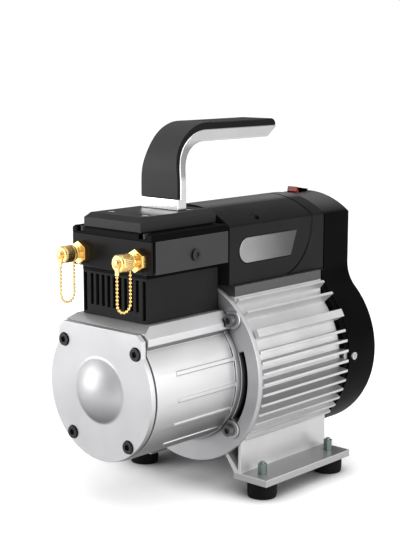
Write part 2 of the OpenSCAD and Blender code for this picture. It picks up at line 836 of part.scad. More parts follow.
module panel_screws() color("#17181a") both_sides()
    translate([head_half, panel_screw_y, port_z]) rotate([0, 90, 0])
        socket_screw(small_r, panel_screw_head_r, 2.2, panel_t + 4);

module plate_screw_places()
    both_sides() for (y = [head_y + plate_screw_in, head_end - plate_screw_in])
        translate([plate_screw_x, y, 0]) children();

module top_plate() color("#1f2021") difference() {
    intersection() {
        along_y(head_y + 1, head_end - 1) chamfered(plate_half, plate_z, plate_top, 4);
        along_x(-plate_half, plate_half)
            translate([cyl_y, 0]) chamfered(head_len / 2 - 1, plate_z, plate_top, 4);
    }
    plate_screw_places() {
        rod_z(small_r + fit, plate_z - 1, plate_top);
        rod_z(4, plate_top - 3, plate_top + 1);
    }
    handle_screw_places() {
        rod_z(small_r + fit, plate_z - 1, plate_top + 1);
        rod_z(handle_screw_head_r + 0.5, plate_z - 1, plate_z + handle_screw_sunk);
    }
}

module top_plate_screws() color("#9ea3a7")
    plate_screw_places() translate([0, 0, plate_top - 3]) socket_screw(small_r, 3.6, 2.6, plate_h);

// Ports, caps and chains: the discharge side is at +X

module port(x) translate([x, 0, port_z]) {
    rod_y(thread_r, head_y - e, head_y + port_tail);
    translate([0, head_y, 0]) rotate([90, 30, 0]) cylinder(r = hex_r, h = hex_t, $fn = 6);
    rod_y(neck_r, thread_y - e, hex_y + e);
    difference() {
        rod_y(thread_r, thread_y - thread_len, thread_y);
        rod_y(2.4, thread_y - thread_len - 1, thread_y - 2);
    }
}
module suction_port() color("#c9952b") port(-port_x);
module discharge_port() color("#c9952b") port(port_x);

module cap(x) translate([x, 0, port_z]) {
    difference() {
        rod_y(cap_r, cap_end, cap_y);
        rod_y(thread_r + running, cap_end + 1.4, cap_y + 1);
    }
    rod_y(rivet_r, cap_end - swivel_t - 2 * running - e, cap_end + e);
    rod_y(rivet_head_r, rivet_y, cap_end - swivel_t - 2 * running);
}
module suction_cap() color("#d0a03a") cap(-port_x);
module discharge_cap() color("#d0a03a") cap(port_x);

module swivel(x) translate([x, swivel_y, port_z]) difference() {
    union() {
        rod_y(3.8, -swivel_t / 2, swivel_t / 2);
        block([-1.7, -swivel_t / 2, -cap_r - 2.2], [1.7, swivel_t / 2, 0]);
    }
    rod_y(rivet_r + running, -swivel_t, swivel_t);
}
module suction_swivel() color("#c9952b") swivel(-port_x);
module discharge_swivel() color("#c9952b") swivel(port_x);

// The chain hangs as a U: two straight legs and a half circle
chain_span = ring_y - swivel_y;
chain_turn_r = chain_span / 2;
chain_top = -cap_r - 2.4 - bead_r;
chain_leg = chain_drop + chain_top - chain_turn_r;
chain_len = 2 * chain_leg + PI * chain_turn_r;
bead_count = floor(chain_len / bead_pitch);
function chain_point(s) =
    s < chain_leg ? [swivel_y, chain_top - s]
    : s > chain_len - chain_leg ? [ring_y, chain_top - (chain_len - s)]
    : let (a = 180 * (s - chain_leg) / (PI * chain_turn_r))
      [swivel_y + chain_turn_r * (1 - cos(a)), chain_top - chain_leg - chain_turn_r * sin(a)];

module chain(x) translate([x, 0, port_z]) {
    for (i = [0 : bead_count]) {
        p = chain_point(i * chain_len / bead_count);
        translate([0, p[0], p[1]]) sphere(bead_r, $fn = 24);
        if (i < bead_count) {
            q = chain_point((i + 1) * chain_len / bead_count);
            d = q - p;
            translate([0, p[0], p[1]]) rotate([atan2(-d[0], d[1]), 0, 0])
                cylinder(r = bead_r * 0.4, h = norm(d), $fn = 24);
        }
    }
    difference() {
        union() {
            rod_y(neck_r + 1.6, ring_y - 0.5, ring_y + 0.5);
            block([-0.8, ring_y - 0.5, chain_top], [0.8, ring_y + 0.5, -neck_r - 0.5]);
        }
        rod_y(neck_r + fit, ring_y - 1, ring_y + 1);
    }
}
module suction_chain() color("#c9a24a") chain(-port_x);
module discharge_chain() color("#c9a24a") chain(port_x);

// Handle

module handle_screw_places()
    both_sides() translate([handle_half / 2, handle_y + leg_pad_t + frame_leg_t / 2, 0]) children();

// The region inside a bend that rises from the plate and turns to the rear
module bent_region(y0, z1, r) {
    translate([y0 + r, plate_top]) square([handle_tip - y0 - r, z1 - plate_top]);
    translate([y0, plate_top]) square([handle_tip - y0, z1 - plate_top - r]);
    translate([y0 + r, z1 - r]) intersection() {
        circle(r);
        translate([-r, -1]) square([r + 1, r + 1]);
    }
}

module handle_width() {
    low = plate_top + 22;
    high = handle_top - 14;
    function half(t) = handle_half + (grip_half - handle_half) * (1 - cos(180 * t)) / 2;
    side = concat([[handle_half, plate_top]],
        [for (i = [0 : 6]) [half(i / 6), low + (high - low) * i / 6]],
        [[grip_half, handle_top + 1]]);
    polygon(concat(side, [for (i = [len(side) - 1 : -1 : 0]) [-side[i][0], side[i][1]]]));
}

frame_top = handle_top - grip_t;
frame_under = frame_top - frame_grip_t;

module handle_frame() color("#d5d7d9") difference() {
    intersection() {
        along_x(-handle_half, handle_half) difference() {
            union() {
                bent_region(handle_y + leg_pad_t, frame_top, bend_r - 4.5);
                translate([handle_y, plate_top]) square([leg_pad_t + e, handle_foot_h]);
            }
            translate([leg_pad_t + frame_leg_t + handle_y, plate_top - 1])
                square([handle_len, frame_under - plate_top + 1 - bend_r + 14.5]);
            translate([leg_pad_t + frame_leg_t + handle_y + bend_r - 14.5, plate_top - 1])
                square([handle_len, frame_under - plate_top + 1]);
            translate([leg_pad_t + frame_leg_t + handle_y + bend_r - 14.5, frame_under - bend_r + 14.5])
                circle(bend_r - 14.5);
            polygon([[handle_tip + 1, frame_top - 2], [handle_tip, frame_top - 2],
                     [handle_tip - tip_rake, frame_under - 1], [handle_tip + 1, frame_under - 1]]);
        }
        along_y(handle_y - 1, handle_tip + 1) handle_width();
    }
    handle_screw_places() rod_z(small_r + fit, plate_top - 1, plate_top + handle_screw_grip + 2);
}

module handle_grip() color("#242424") intersection() {
    along_x(-handle_half, handle_half) difference() {
        bent_region(handle_y, handle_top, bend_r);
        bent_region(handle_y + leg_pad_t, frame_top, bend_r - 4.5);
        translate([handle_y - 1, plate_top - 1]) square([leg_pad_t + 2, handle_foot_h + 1.2]);
        translate([handle_tip - grip_t, frame_top - 1]) difference() {
            square([grip_t + 1, grip_t + 2]);
            translate([0, 1]) circle(grip_t);
        }
        for (i = [0 : notch_count - 1])
            translate([handle_y + bend_r + 8 + i * (handle_len - bend_r - 20) / notch_count, handle_top])
                circle(0.8, $fn = 24);
    }
    along_y(handle_y - 1, handle_tip + 1) handle_width();
}

module handle_screws() color("#44474a")
    handle_screw_places() translate([0, 0, plate_z + handle_screw_sunk]) mirror([0, 0, 1])
        socket_screw(small_r, handle_screw_head_r, handle_screw_head_h,
                     plate_h - handle_screw_sunk + handle_screw_grip);

// Top housing and what it holds

// A box outline with a crowned roof, made smaller by inset on its sides and roof
module crowned(half, z0, crease, crown, inset) {
    rise = crown - crease;
    roof_r = (half * half + rise * rise) / (2 * rise);
    intersection() {
        translate([-half + inset, z0]) square([2 * (half - inset), crown - z0]);
        translate([0, crown - roof_r]) circle(roof_r - inset, $fn = 180);
    }
}

module top_housing() color("#2f3032") difference() {
    union() {
        difference() {
            along_y(box_y, neck_y - 0.5) crowned(box_half, box_z, crease_z, crown_z, 0);
            along_y(box_y + wall, neck_y + 1) crowned(box_half, box_z - 1, crease_z, crown_z, wall);
        }
        intersection() {
            both_sides() rod_z(box_pillar_r, box_z, crown_z, box_screw_x, box_screw_y);
            along_y(box_y, neck_y) crowned(box_half, box_z, crease_z, crown_z, 0);
        }
    }
    both_sides() {
        rod_z(small_r + fit, box_z - 1, crown_z, box_screw_x, box_screw_y);
        rod_z(3.2, box_z + 6, crown_z + 1, box_screw_x, box_screw_y);
    }
    along_x(box_half - 0.7, box_half + 1) badge_outline(0.2);
    both_sides() along_x(box_half - sweep_deep, box_half + 1) difference() {
        translate([sweep_y, sweep_z]) circle(sweep_r);
        translate([sweep_y, sweep_z]) circle(sweep_r - sweep_w);
        translate([sweep_y - 2 * sweep_r, box_z - 1]) square([2 * sweep_r, 200]);
        translate([sweep_y, sweep_z]) square([2 * sweep_r, 200]);
    }
    along_y(sweep_y + sweep_r - sweep_w - running, sweep_y + sweep_r + running) difference() {
        translate([-box_half - 1, sweep_z - 3]) square([2 * box_half + 2, crown_z - sweep_z + 4]);
        crowned(box_half, box_z, crease_z, crown_z, sweep_deep + fit);
    }
}
// The housing's groove: an arc on each side that runs on over the roof
sweep_deep = 0.6;
sweep_w = 1;
sweep_r = 46;
sweep_y = neck_y - 17 - sweep_r;
sweep_z = crease_z - 4;

module badge_outline(grow) translate([badge_y, badge_z]) {
    r = badge_h / 2 + grow;
    translate([badge_h / 2, badge_h / 2]) circle(r);
    polygon([[badge_h / 2, -grow], [badge_len - 8 + grow, -grow],
             [badge_len + grow, badge_h + grow], [badge_h / 2, badge_h + grow]]);
}

module badge_plate() color("#8b8d90") along_x(box_half - 0.7, box_half - 0.7 + badge_t) badge_outline(0);

module housing_screws() color("#1c1d1f") both_sides()
    translate([box_screw_x, box_screw_y, box_z + 6]) socket_screw(small_r, 3, 3, 10);

module capacitor() color("#3a4a5a")
    translate([-box_half / 4, box_y + capacitor_in, box_z + capacitor_r + fit]) {
        rod_y(capacitor_r, 0, capacitor_len);
        rod_y(capacitor_neck_r, capacitor_len - e, capacitor_len + capacitor_neck_len);
    }

module terminal_block() color("#e2ddd0") translate([box_half / 3, box_y + terminal_in, box_z]) difference() {
    cube(terminal);
    for (i = [0 : terminal_holes - 1])
        rod_z(terminal_hole_r, terminal[2] / 2, terminal[2] + 1, terminal[0] / 2,
              terminal[1] / 2 + (i - (terminal_holes - 1) / 2) * terminal_pitch);
}

// Fan cowl, switch and inlet

module cowl_outline(inset) {
    half = box_half + 0.5;
    r = cowl_r - inset;
    f = neck_fillet + inset;
    cx = half - inset + f;
    cz = sqrt(pow(r + f, 2) - pow(cx, 2));
    circle(r, $fn = 120);
    both_sides() difference() {
        polygon([[0, 0], [r * cx / (r + f), r * cz / (r + f)], [cx, cz], [half - inset, cz], [0, cz]]);
        translate([cx, cz]) circle(f);
    }
    translate([0, -axis_h]) crowned(half, axis_h, crease_z - 1, crown_z - 1, inset);
}

module grille_slots() difference() {
    union() {
        for (i = [0 : grille_rings - 1]) difference() {
            circle(grille_in_r + grille_slot + i * grille_pitch);
            circle(grille_in_r + i * grille_pitch);
        }
    }
    for (a = [0 : 45 : 135]) rotate(a) square([2 * cowl_r, spoke_w], center = true);
}

// A skirt inside the cowl's front edge that closes the gap behind the fins
module cowl_skirt() difference() {
    along_y(motor_end + skirt_gap, cowl_y + 2) cowl_outline(skirt_step);
    along_y(motor_end, cowl_y + 3) cowl_outline(skirt_step + skirt_t);
    block([-cowl_r, motor_end, pad_h - 1], [cowl_r, cowl_y + 3, crown_z]);
    for (a = lug_angles) rotate([0, -a, 0]) {
        block([fan_r, motor_end, -lug_half - 1], [cowl_r + 1, cowl_y, lug_half + 1]);
        block([fan_r, cowl_y - 1, -lug_half - 1], [cowl_r - wall, cowl_y + 3, lug_half + 1]);
    }
}

module fan_cowl() color("#232426") difference() {
    on_axis() difference() {
        union() {
            difference() {
                along_y(cowl_y, cowl_end) cowl_outline(0);
                along_y(cowl_y - 1, cowl_end - wall) cowl_outline(wall);
            }
            cowl_skirt();
        }
        along_y(cowl_end - wall - 1, cowl_end + 1) grille_slots();
        for (a = lug_angles) rotate([0, -a, 0])
            rod_x(small_r + fit, cowl_r - 6, cowl_r + 2, cowl_y + cowl_screw_in, 0);
    }
    block([-box_half - 2, cowl_y - 1, box_z - 1], [box_half + 2, neck_y, crown_z + 1]);
    translate([0, switch_y, 0]) {
        block([-bezel[0] / 2 - fit, -bezel[1] / 2 - fit, switch_z],
              [bezel[0] / 2 + fit, bezel[1] / 2 + fit, crown_z + 1]);
        block([-6.6, -9.9, switch_z - 20], [6.6, 9.9, crown_z + 1]);
    }
    translate([0, 0, inlet_z]) block([-inlet_w / 2 - fit, cowl_end - 5, -inlet_h / 2 - fit],
                                     [inlet_w / 2 + fit, cowl_end + 1, inlet_h / 2 + fit]);
}

module cowl_screws() color("#c8ccd0") on_axis()
    for (a = lug_angles) rotate([0, -a, 0])
        translate([cowl_r, cowl_y + cowl_screw_in, 0]) rotate([0, 90, 0])
            socket_screw(small_r, 3.4, 2.2, cowl_screw_len);

module switch_body() color("#151516") translate([0, switch_y, switch_z]) difference() {
    union() {
        block(-[bezel[0] / 2, bezel[1] / 2, 0], [bezel[0] / 2, bezel[1] / 2, bezel[2]]);
        block([-6.5, -9.8, -16], [6.5, 9.8, e]);
    }
    block([-5.6, -9.2, -8], [5.6, 9.2, bezel[2] + 1]);
    rod_x(pivot_r + running, -bezel[0], bezel[0], 0, -pivot_drop);
}

module switch_rocker() color("#c01818")
    translate([0, switch_y, switch_z - pivot_drop]) rotate([-rocker_tilt, 0, 0]) {
        along_x(-rocker_wide, rocker_wide) difference() {
            translate([-rocker_half, rocker_low]) square([2 * rocker_half, rocker_t]);
            translate([0, rocker_low + rocker_t - 1.4 + rocker_dish_r]) circle(rocker_dish_r);
        }
        along_x(-rocker_wide, rocker_wide)
            polygon([[-rocker_half / 2, -pivot_drop], [rocker_half / 2, -pivot_drop],
                     [rocker_half, rocker_low + e], [-rocker_half, rocker_low + e]]);
        rod_x(pivot_r, -pivot_half, pivot_half);
    }

module power_inlet() color("#161617") translate([0, 0, inlet_z]) difference() {
    union() {
        block([-inlet_w / 2 - 3, cowl_end, -inlet_h / 2 - 3],
              [inlet_w / 2 + 3, cowl_end + inlet_proud, inlet_h / 2 + 3]);
        block([-inlet_w / 2, cowl_end - inlet_depth, -inlet_h / 2], [inlet_w / 2, cowl_end + e, inlet_h / 2]);
    }
    along_y(cowl_end - inlet_depth + 2, cowl_end + inlet_proud + 1)
        polygon([[-11.5, -7.5], [11.5, -7.5], [11.5, 4], [8, 7.5], [-8, 7.5], [-11.5, 4]]);
    for (p = [[-7, -2], [0, 2], [7, -2]])
        block([p[0] - 1 - fit, cowl_end - inlet_depth - 1, p[1] - 2 - fit],
              [p[0] + 1 + fit, cowl_end - inlet_depth + 3, p[1] + 2 + fit]);
}

module inlet_pins() color("#cfd2d4") translate([0, 0, inlet_z])
    for (p = [[-7, -2], [0, 2], [7, -2]])
        block([p[0] - 1, cowl_end - inlet_depth - 6, p[1] - 2], [p[0] + 1, cowl_end - 4.5, p[1] + 2]);

at_rest() front_cover();
at_rest() cover_gasket();
at_rest() cover_screws();
at_rest() crankcase();
at_rest() crankcase_bolts();
at_rest() motor_front_bell();
at_rest() motor_housing();
at_rest() stator_core();
at_rest() stator_windings();
at_rest() rotor_core();
at_rest() motor_shaft();
at_rest() shaft_bearings();
at_rest() motor_rear_bell();
at_rest() cooling_fan();
at_rest() fan_cowl();
at_rest() cowl_screws();
at_rest() eccentric();
at_rest() counterweight();
at_rest() crank_bearing();
at_rest() connecting_rod();
at_rest() wrist_pin();
at_rest() piston();
at_rest() piston_seal();
at_rest() cylinder_barrel();
at_rest() head_shroud();
at_rest() valve_plate();
at_rest() suction_reed();
at_rest() discharge_reed();
at_rest() head_gasket();
at_rest() head_block();
at_rest() head_bolts();
at_rest() head_cover();
at_rest() head_cover_screws();
at_rest() side_panels();
at_rest() panel_screws();
at_rest() top_plate();
at_rest() top_plate_screws();
at_rest() suction_port();
at_rest() discharge_port();
at_rest() suction_cap();
at_rest() discharge_cap();
at_rest() suction_swivel();
at_rest() discharge_swivel();
at_rest() suction_chain();
at_rest() discharge_chain();
at_rest() handle_frame();
at_rest() handle_grip();
at_rest() handle_screws();
at_rest() top_housing();
at_rest() badge_plate();
at_rest() housing_screws();
at_rest() capacitor();
at_rest() terminal_block();
at_rest() switch_body();
at_rest() switch_rocker();
at_rest() power_inlet();
at_rest() inlet_pins();
at_rest() rubber_feet();
at_rest() foot_studs();
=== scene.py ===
# %% [markdown]
# # Dressing a small refrigerant recovery machine
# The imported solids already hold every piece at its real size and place. This lesson gives them
# their looks: a camera and studio light first, then the finishes as shader nodes, then softened
# copies of the pieces that show, because a real edge is never perfectly sharp. Last come two kinds
# of piece that are made anew: the fluted brass caps, and the bead chains that hold them.

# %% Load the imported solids
import json
import math

import bmesh
import bpy
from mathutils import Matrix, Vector


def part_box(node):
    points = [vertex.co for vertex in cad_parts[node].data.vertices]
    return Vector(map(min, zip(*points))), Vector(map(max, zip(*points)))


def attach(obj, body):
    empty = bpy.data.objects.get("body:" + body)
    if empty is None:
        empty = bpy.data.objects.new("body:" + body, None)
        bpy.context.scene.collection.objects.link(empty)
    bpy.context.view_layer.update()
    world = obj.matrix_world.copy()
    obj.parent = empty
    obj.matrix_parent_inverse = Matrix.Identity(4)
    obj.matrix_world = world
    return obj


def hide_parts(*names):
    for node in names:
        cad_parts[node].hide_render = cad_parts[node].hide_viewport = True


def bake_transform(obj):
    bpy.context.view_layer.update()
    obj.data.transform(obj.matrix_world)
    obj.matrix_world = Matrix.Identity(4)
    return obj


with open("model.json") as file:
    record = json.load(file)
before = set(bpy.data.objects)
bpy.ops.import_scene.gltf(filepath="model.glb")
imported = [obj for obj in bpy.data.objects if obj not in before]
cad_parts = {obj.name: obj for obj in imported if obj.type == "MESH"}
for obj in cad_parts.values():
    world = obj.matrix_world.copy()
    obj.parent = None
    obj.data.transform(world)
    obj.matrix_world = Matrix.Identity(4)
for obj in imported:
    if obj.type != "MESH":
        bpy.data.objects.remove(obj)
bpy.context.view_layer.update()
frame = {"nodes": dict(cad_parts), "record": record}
nodes = frame["nodes"]
slot_of = {row["node"]: row["material_slot"] for row in frame["record"]["subparts"]}
MM = 0.001

# %% [markdown]
# ## The camera
# The photograph was taken from the front right corner, a little above the machine, with a long
# lens. A long lens keeps upright edges nearly parallel, so the camera stands over a metre away.

# %% Place the camera
TURN = math.radians(42.43)
LOOK_DOWN = math.radians(9.91)
LENS_LENGTH = 83.95
SENSOR_WIDTH = 36
CAMERA_PLACE = (0.72278, -0.80090, 0.36484)

lens = bpy.data.cameras.new("lens")
lens.lens = LENS_LENGTH
lens.sensor_width = SENSOR_WIDTH
camera = bpy.data.objects.new("camera", lens)
camera.location = CAMERA_PLACE
camera.rotation_euler = (math.pi / 2 - LOOK_DOWN, 0, TURN)
bpy.context.collection.objects.link(camera)
bpy.context.scene.camera = camera
print("camera", tuple(round(v, 3) for v in camera.location))


# %% [markdown]
# ## The white tent
# A product like this is shot in a tent of white cloth: everything round it glows softly. To the
# camera the world is plain white. The light that it gives fades from the roof down to the horizon,
# so that metal has something darker to mirror and its curves can be read. A few small helpers come
# first, because light, floor and finishes are all built from nodes.

# %% Put up the tent
def add(tree, kind, **settings):
    """Adds a node and sets its options."""
    made = tree.nodes.new(kind)
    for key, value in settings.items():
        setattr(made, key, value)
    return made


def feed(tree, value, socket):
    """Gives a socket either a link from another socket or a plain value."""
    if isinstance(value, bpy.types.NodeSocket):
        tree.links.new(value, socket)
    else:
        socket.default_value = value


def ramp(tree, value, start, full, low=0.0, high=1.0, **settings):
    """Turns a value into one that rises from low, at start, to high, at full."""
    made = add(tree, "ShaderNodeMapRange", **settings)
    feed(tree, value, made.inputs["Value"])
    feed(tree, start, made.inputs["From Min"])
    feed(tree, full, made.inputs["From Max"])
    feed(tree, low, made.inputs["To Min"])
    feed(tree, high, made.inputs["To Max"])
    return made.outputs["Result"]


def either(tree, choice, usual, chosen):
    """Shows one shader where the choice is 0 and another where it is 1."""
    mix = add(tree, "ShaderNodeMixShader")
    tree.links.new(choice, mix.inputs[0])
    tree.links.new(usual.outputs[0], mix.inputs[1])
    tree.links.new(chosen.outputs[0], mix.inputs[2])
    return mix


def white_cloth(tree, strength):
    cloth = add(tree, "ShaderNodeBackground")
    cloth.inputs["Color"].default_value = (1, 1, 1, 1)
    feed(tree, strength, cloth.inputs["Strength"])
    return cloth


TENT_LOW = 0.22
TENT_HIGH = 0.6
FADE_FROM = -0.1
FADE_TO = 0.8
SEEN_WHITE = 1.0


def build_world():
    world = bpy.data.worlds.new("tent")
    world.use_nodes = True
    tree = world.node_tree
    tree.nodes.clear()
    place = add(tree, "ShaderNodeTexCoord")
    split = add(tree, "ShaderNodeSeparateXYZ")
    tree.links.new(place.outputs["Generated"], split.inputs[0])
    glow = ramp(tree, split.outputs["Z"], FADE_FROM, FADE_TO, TENT_LOW, TENT_HIGH)
    tent = white_cloth(tree, glow)
    seen = white_cloth(tree, SEEN_WHITE)
    path = add(tree, "ShaderNodeLightPath")
    mix = either(tree, path.outputs["Is Camera Ray"], tent, seen)
    out = add(tree, "ShaderNodeOutputWorld")
    tree.links.new(mix.outputs[0], out.inputs["Surface"])
    bpy.context.scene.world = world


build_world()
bpy.context.scene.view_settings.view_transform = "Standard"
print("tent glows from", TENT_LOW, "to", TENT_HIGH)


# %% [markdown]
# ## Lamps
# A broad light comes from above, large lamps stand at the front left and on the right, and two weak
# ones fill in from the left and from beside the camera, where they reach between the fins. Wide lamps
# give the soft shadow and the long highlights of a studio picture.

# %% Set up the lamps
def sky_lamp(name, aim_from, strength, spread):
    data = bpy.data.lights.new(name, "SUN")
    data.energy = strength
    data.angle = math.radians(spread)
    lamp = bpy.data.objects.new(name, data)
    lamp.rotation_euler = Vector(aim_from).to_track_quat("Z", "Y").to_euler()
    bpy.context.collection.objects.link(lamp)


def soft_lamp(name, place, aim, width, height, watts):
    data = bpy.data.lights.new(name, "AREA")
    data.shape = "RECTANGLE"
    data.size = width
    data.size_y = height
    data.energy = watts
    lamp = bpy.data.objects.new(name, data)
    lamp.location = place
    lamp.rotation_euler = (Vector(aim) - Vector(place)).to_track_quat("-Z", "Y").to_euler()
    bpy.context.collection.objects.link(lamp)


MIDDLE = (0, 0, 0.15)
sky_lamp("lamp_sky", aim_from=(0.35, -0.05, 1.0), strength=1.15, spread=70)
soft_lamp("lamp_front", (-1.0, -1.1, 0.45), MIDDLE, width=1.2, height=0.9, watts=14)
soft_lamp("lamp_right", (1.3, 0.3, 0.45), MIDDLE, width=0.9, height=0.7, watts=11)
soft_lamp("lamp_left", (-1.3, 0.2, 0.4), MIDDLE, width=0.8, height=0.8, watts=3)
soft_lamp("lamp_fill", (1.1, -0.55, 0.2), MIDDLE, width=0.6, height=0.6, watts=4)


# %% [markdown]
# ## The floor
# The photograph's floor is blown out to white, with a grey shadow only under the machine. So the
# sheet looks brighter to the camera than it is to the machine: wherever the lamps reach it turns
# white, and what stays grey is the shadow, a little deeper close to the feet. Polished metal mirrors
# a bright floor too, while the light that the floor throws up at the machine stays soft.

# %% Lay the floor
FLOOR_REACH = 12
FLOOR_BOUNCE = 0.45
FLOOR_MIRRORED = 0.8
FLOOR_SEEN = 1.2
CONTACT_REACH = 31 * MM
CONTACT_SAMPLES = 8


def grey(value, blue=0.0):
    """A grey colour, with a little more blue where that is asked for."""
    return (value, value, value * (1 + blue))


def matt(tree, colour):
    sheet = add(tree, "ShaderNodeBsdfDiffuse")
    feed(tree, colour, sheet.inputs["Color"])
    return sheet


def build_paper():
    paper = bpy.data.materials.new("white_paper")
    paper.use_nodes = True
    tree = paper.node_tree
    tree.nodes.clear()
    # The camera sees the floor darkened by ambient occlusion near the machine: a painted contact shadow
    # that deepens the grey close to the feet.
    near = add(tree, "ShaderNodeAmbientOcclusion", samples=CONTACT_SAMPLES)
    near.inputs["Color"].default_value = (*grey(FLOOR_SEEN), 1)
    near.inputs["Distance"].default_value = CONTACT_REACH
    bounce = matt(tree, (*grey(FLOOR_BOUNCE), 1))
    mirrored = matt(tree, (*grey(FLOOR_MIRRORED), 1))
    seen = matt(tree, near.outputs["Color"])
    path = add(tree, "ShaderNodeLightPath")
    lit = either(tree, path.outputs["Is Glossy Ray"], bounce, mirrored)
    mix = either(tree, path.outputs["Is Camera Ray"], lit, seen)
    out = add(tree, "ShaderNodeOutputMaterial")
    tree.links.new(mix.outputs[0], out.inputs["Surface"])
    return paper


def build_floor():
    reach = FLOOR_REACH
    corners = [(-reach, -reach, 0), (reach, -reach, 0), (reach, reach, 0), (-reach, reach, 0)]
    mesh = bpy.data.meshes.new("floor")
    mesh.from_pydata(corners, [], [(0, 1, 2, 3)])
    mesh.materials.append(build_paper())
    floor = bpy.data.objects.new("floor", mesh)
    bpy.context.collection.objects.link(floor)


build_floor()
print("floor laid,", 2 * FLOOR_REACH, "m wide")


# %% [markdown]
# ## Shared effects: grain and handling marks
# Effects that many finishes share are node groups, each built once. The first two cover a whole
# surface: a fine grain, like the skin of a casting or the texture of a moulding tool, and broad
# handling marks, which change tone and gloss a little from place to place. Both are noise in the
# piece's own coordinates, so they need no unwrapping and move with the piece.

# %% Build the grain and the marks
FLOAT = "NodeSocketFloat"
VECTOR = "NodeSocketVector"
EVEN = (1, 1, 1)
GRAIN_DETAIL = 3
GRAIN_ROUGHNESS = 0.6
MARK_DETAIL = 5
MARK_SCALE = 30.0
MARK_LOW = 0.3
MARK_HIGH = 0.7


def new_group(name, inputs, output):
    """Starts a node group that puts out one value."""
    tree = bpy.data.node_groups.new(name, "ShaderNodeTree")
    for title, kind, start in inputs:
        socket = tree.interface.new_socket(title, in_out="INPUT", socket_type=kind)
        socket.default_value = start
    tree.interface.new_socket(output, in_out="OUTPUT", socket_type=FLOAT)
    return tree, add(tree, "NodeGroupInput"), add(tree, "NodeGroupOutput")


def build_grain():
    tree, given, out = new_group(
        "fine_grain", [("Scale", FLOAT, 1000.0), ("Stretch", VECTOR, EVEN)], "Height")
    place = add(tree, "ShaderNodeTexCoord")
    stretched = add(tree, "ShaderNodeVectorMath", operation="MULTIPLY")
    tree.links.new(place.outputs["Object"], stretched.inputs[0])
    tree.links.new(given.outputs["Stretch"], stretched.inputs[1])
    noise = add(tree, "ShaderNodeTexNoise")
    noise.inputs["Detail"].default_value = GRAIN_DETAIL
    noise.inputs["Roughness"].default_value = GRAIN_ROUGHNESS
    tree.links.new(stretched.outputs[0], noise.inputs["Vector"])
    tree.links.new(given.outputs["Scale"], noise.inputs["Scale"])
    tree.links.new(noise.outputs["Fac"], out.inputs["Height"])
    return tree


def build_marks():
    tree, given, out = new_group("handling_marks", [("Scale", FLOAT, MARK_SCALE)], "Mask")
    place = add(tree, "ShaderNodeTexCoord")
    broad = add(tree, "ShaderNodeTexNoise")
    broad.inputs["Detail"].default_value = MARK_DETAIL
    tree.links.new(place.outputs["Object"], broad.inputs["Vector"])
    tree.links.new(given.outputs["Scale"], broad.inputs["Scale"])
    mask = ramp(tree, broad.outputs["Fac"], MARK_LOW, MARK_HIGH)
    tree.links.new(mask, out.inputs["Mask"])
    return tree


GRAIN = build_grain()
MARKS = build_marks()
print("node groups:", GRAIN.name, MARKS.name)


# %% [markdown]
# ## Shared effects: edges and recesses
# Two of the masks paint light and shade. Paler outer edges are a painted highlight, with a little
# rubbed wear, and the recess mask carries painted shade in slots and, on the extrusion, painted light
# between the fins. The Bevel node shows where an edge is near, because there its rounded normal leaves
# the surface's own. Ambient occlusion shows how much of the sky a spot can see, which is little inside
# a slot or between two fins.

# %% Build the masks of edges and recesses
EDGE_WIDTH = 0.8 * MM
EDGE_SAMPLES = 6
EDGE_FROM = 0.995
EDGE_FULL = 0.9
RECESS_REACH = 12 * MM
RECESS_SAMPLES = 8
RECESS_FROM = 0.75
RECESS_FULL = 0.15


def build_edges():
    tree, given, out = new_group("outer_edges", [("Width", FLOAT, EDGE_WIDTH)], "Mask")
    rounded = add(tree, "ShaderNodeBevel", samples=EDGE_SAMPLES)
    tree.links.new(given.outputs["Width"], rounded.inputs["Radius"])
    flat = add(tree, "ShaderNodeNewGeometry")
    match = add(tree, "ShaderNodeVectorMath", operation="DOT_PRODUCT")
    tree.links.new(rounded.outputs["Normal"], match.inputs[0])
    tree.links.new(flat.outputs["Normal"], match.inputs[1])
    mask = ramp(tree, match.outputs["Value"], EDGE_FROM, EDGE_FULL)
    tree.links.new(mask, out.inputs["Mask"])
    return tree


def build_recesses():
    tree, given, out = new_group("recesses", [("Reach", FLOAT, RECESS_REACH)], "Mask")
    open_sky = add(tree, "ShaderNodeAmbientOcclusion", samples=RECESS_SAMPLES)
    tree.links.new(given.outputs["Reach"], open_sky.inputs["Distance"])
    mask = ramp(tree, open_sky.outputs["AO"], RECESS_FROM, RECESS_FULL)
    tree.links.new(mask, out.inputs["Mask"])
    return tree


EDGES = build_edges()
RECESSES = build_recesses()
print("node groups:", EDGES.name, RECESSES.name)


# %% [markdown]
# ## Shared effects: faces and places
# Other masks pick faces by the way they look: the flanks, to the left or the right, and the tops.
# They paint light and shade: a face is made lighter or darker by the way it looks. The mask of the
# tops, turned over, gives the undersides. Two more start at a height or at a length along the
# machine; the height mask carries painted shade and a painted shadow on the motor's body. All work
# in the piece's own directions, so that they stay with a piece that moves.

# %% Build the masks of faces and places
def build_facing(name, axis, both_ways):
    tree, given, out = new_group(name, [("Start", FLOAT, 0.8), ("Full", FLOAT, 0.97)], "Mask")
    face = add(tree, "ShaderNodeNewGeometry")
    own = add(tree, "ShaderNodeVectorTransform", vector_type="NORMAL", convert_from="WORLD",
              convert_to="OBJECT")
    tree.links.new(face.outputs["Normal"], own.inputs[0])
    split = add(tree, "ShaderNodeSeparateXYZ")
    tree.links.new(own.outputs[0], split.inputs[0])
    along = split.outputs[axis]
    if both_ways:
        size = add(tree, "ShaderNodeMath", operation="ABSOLUTE")
        tree.links.new(along, size.inputs[0])
        along = size.outputs[0]
    mask = ramp(tree, along, given.outputs["Start"], given.outputs["Full"])
    tree.links.new(mask, out.inputs["Mask"])
    return tree


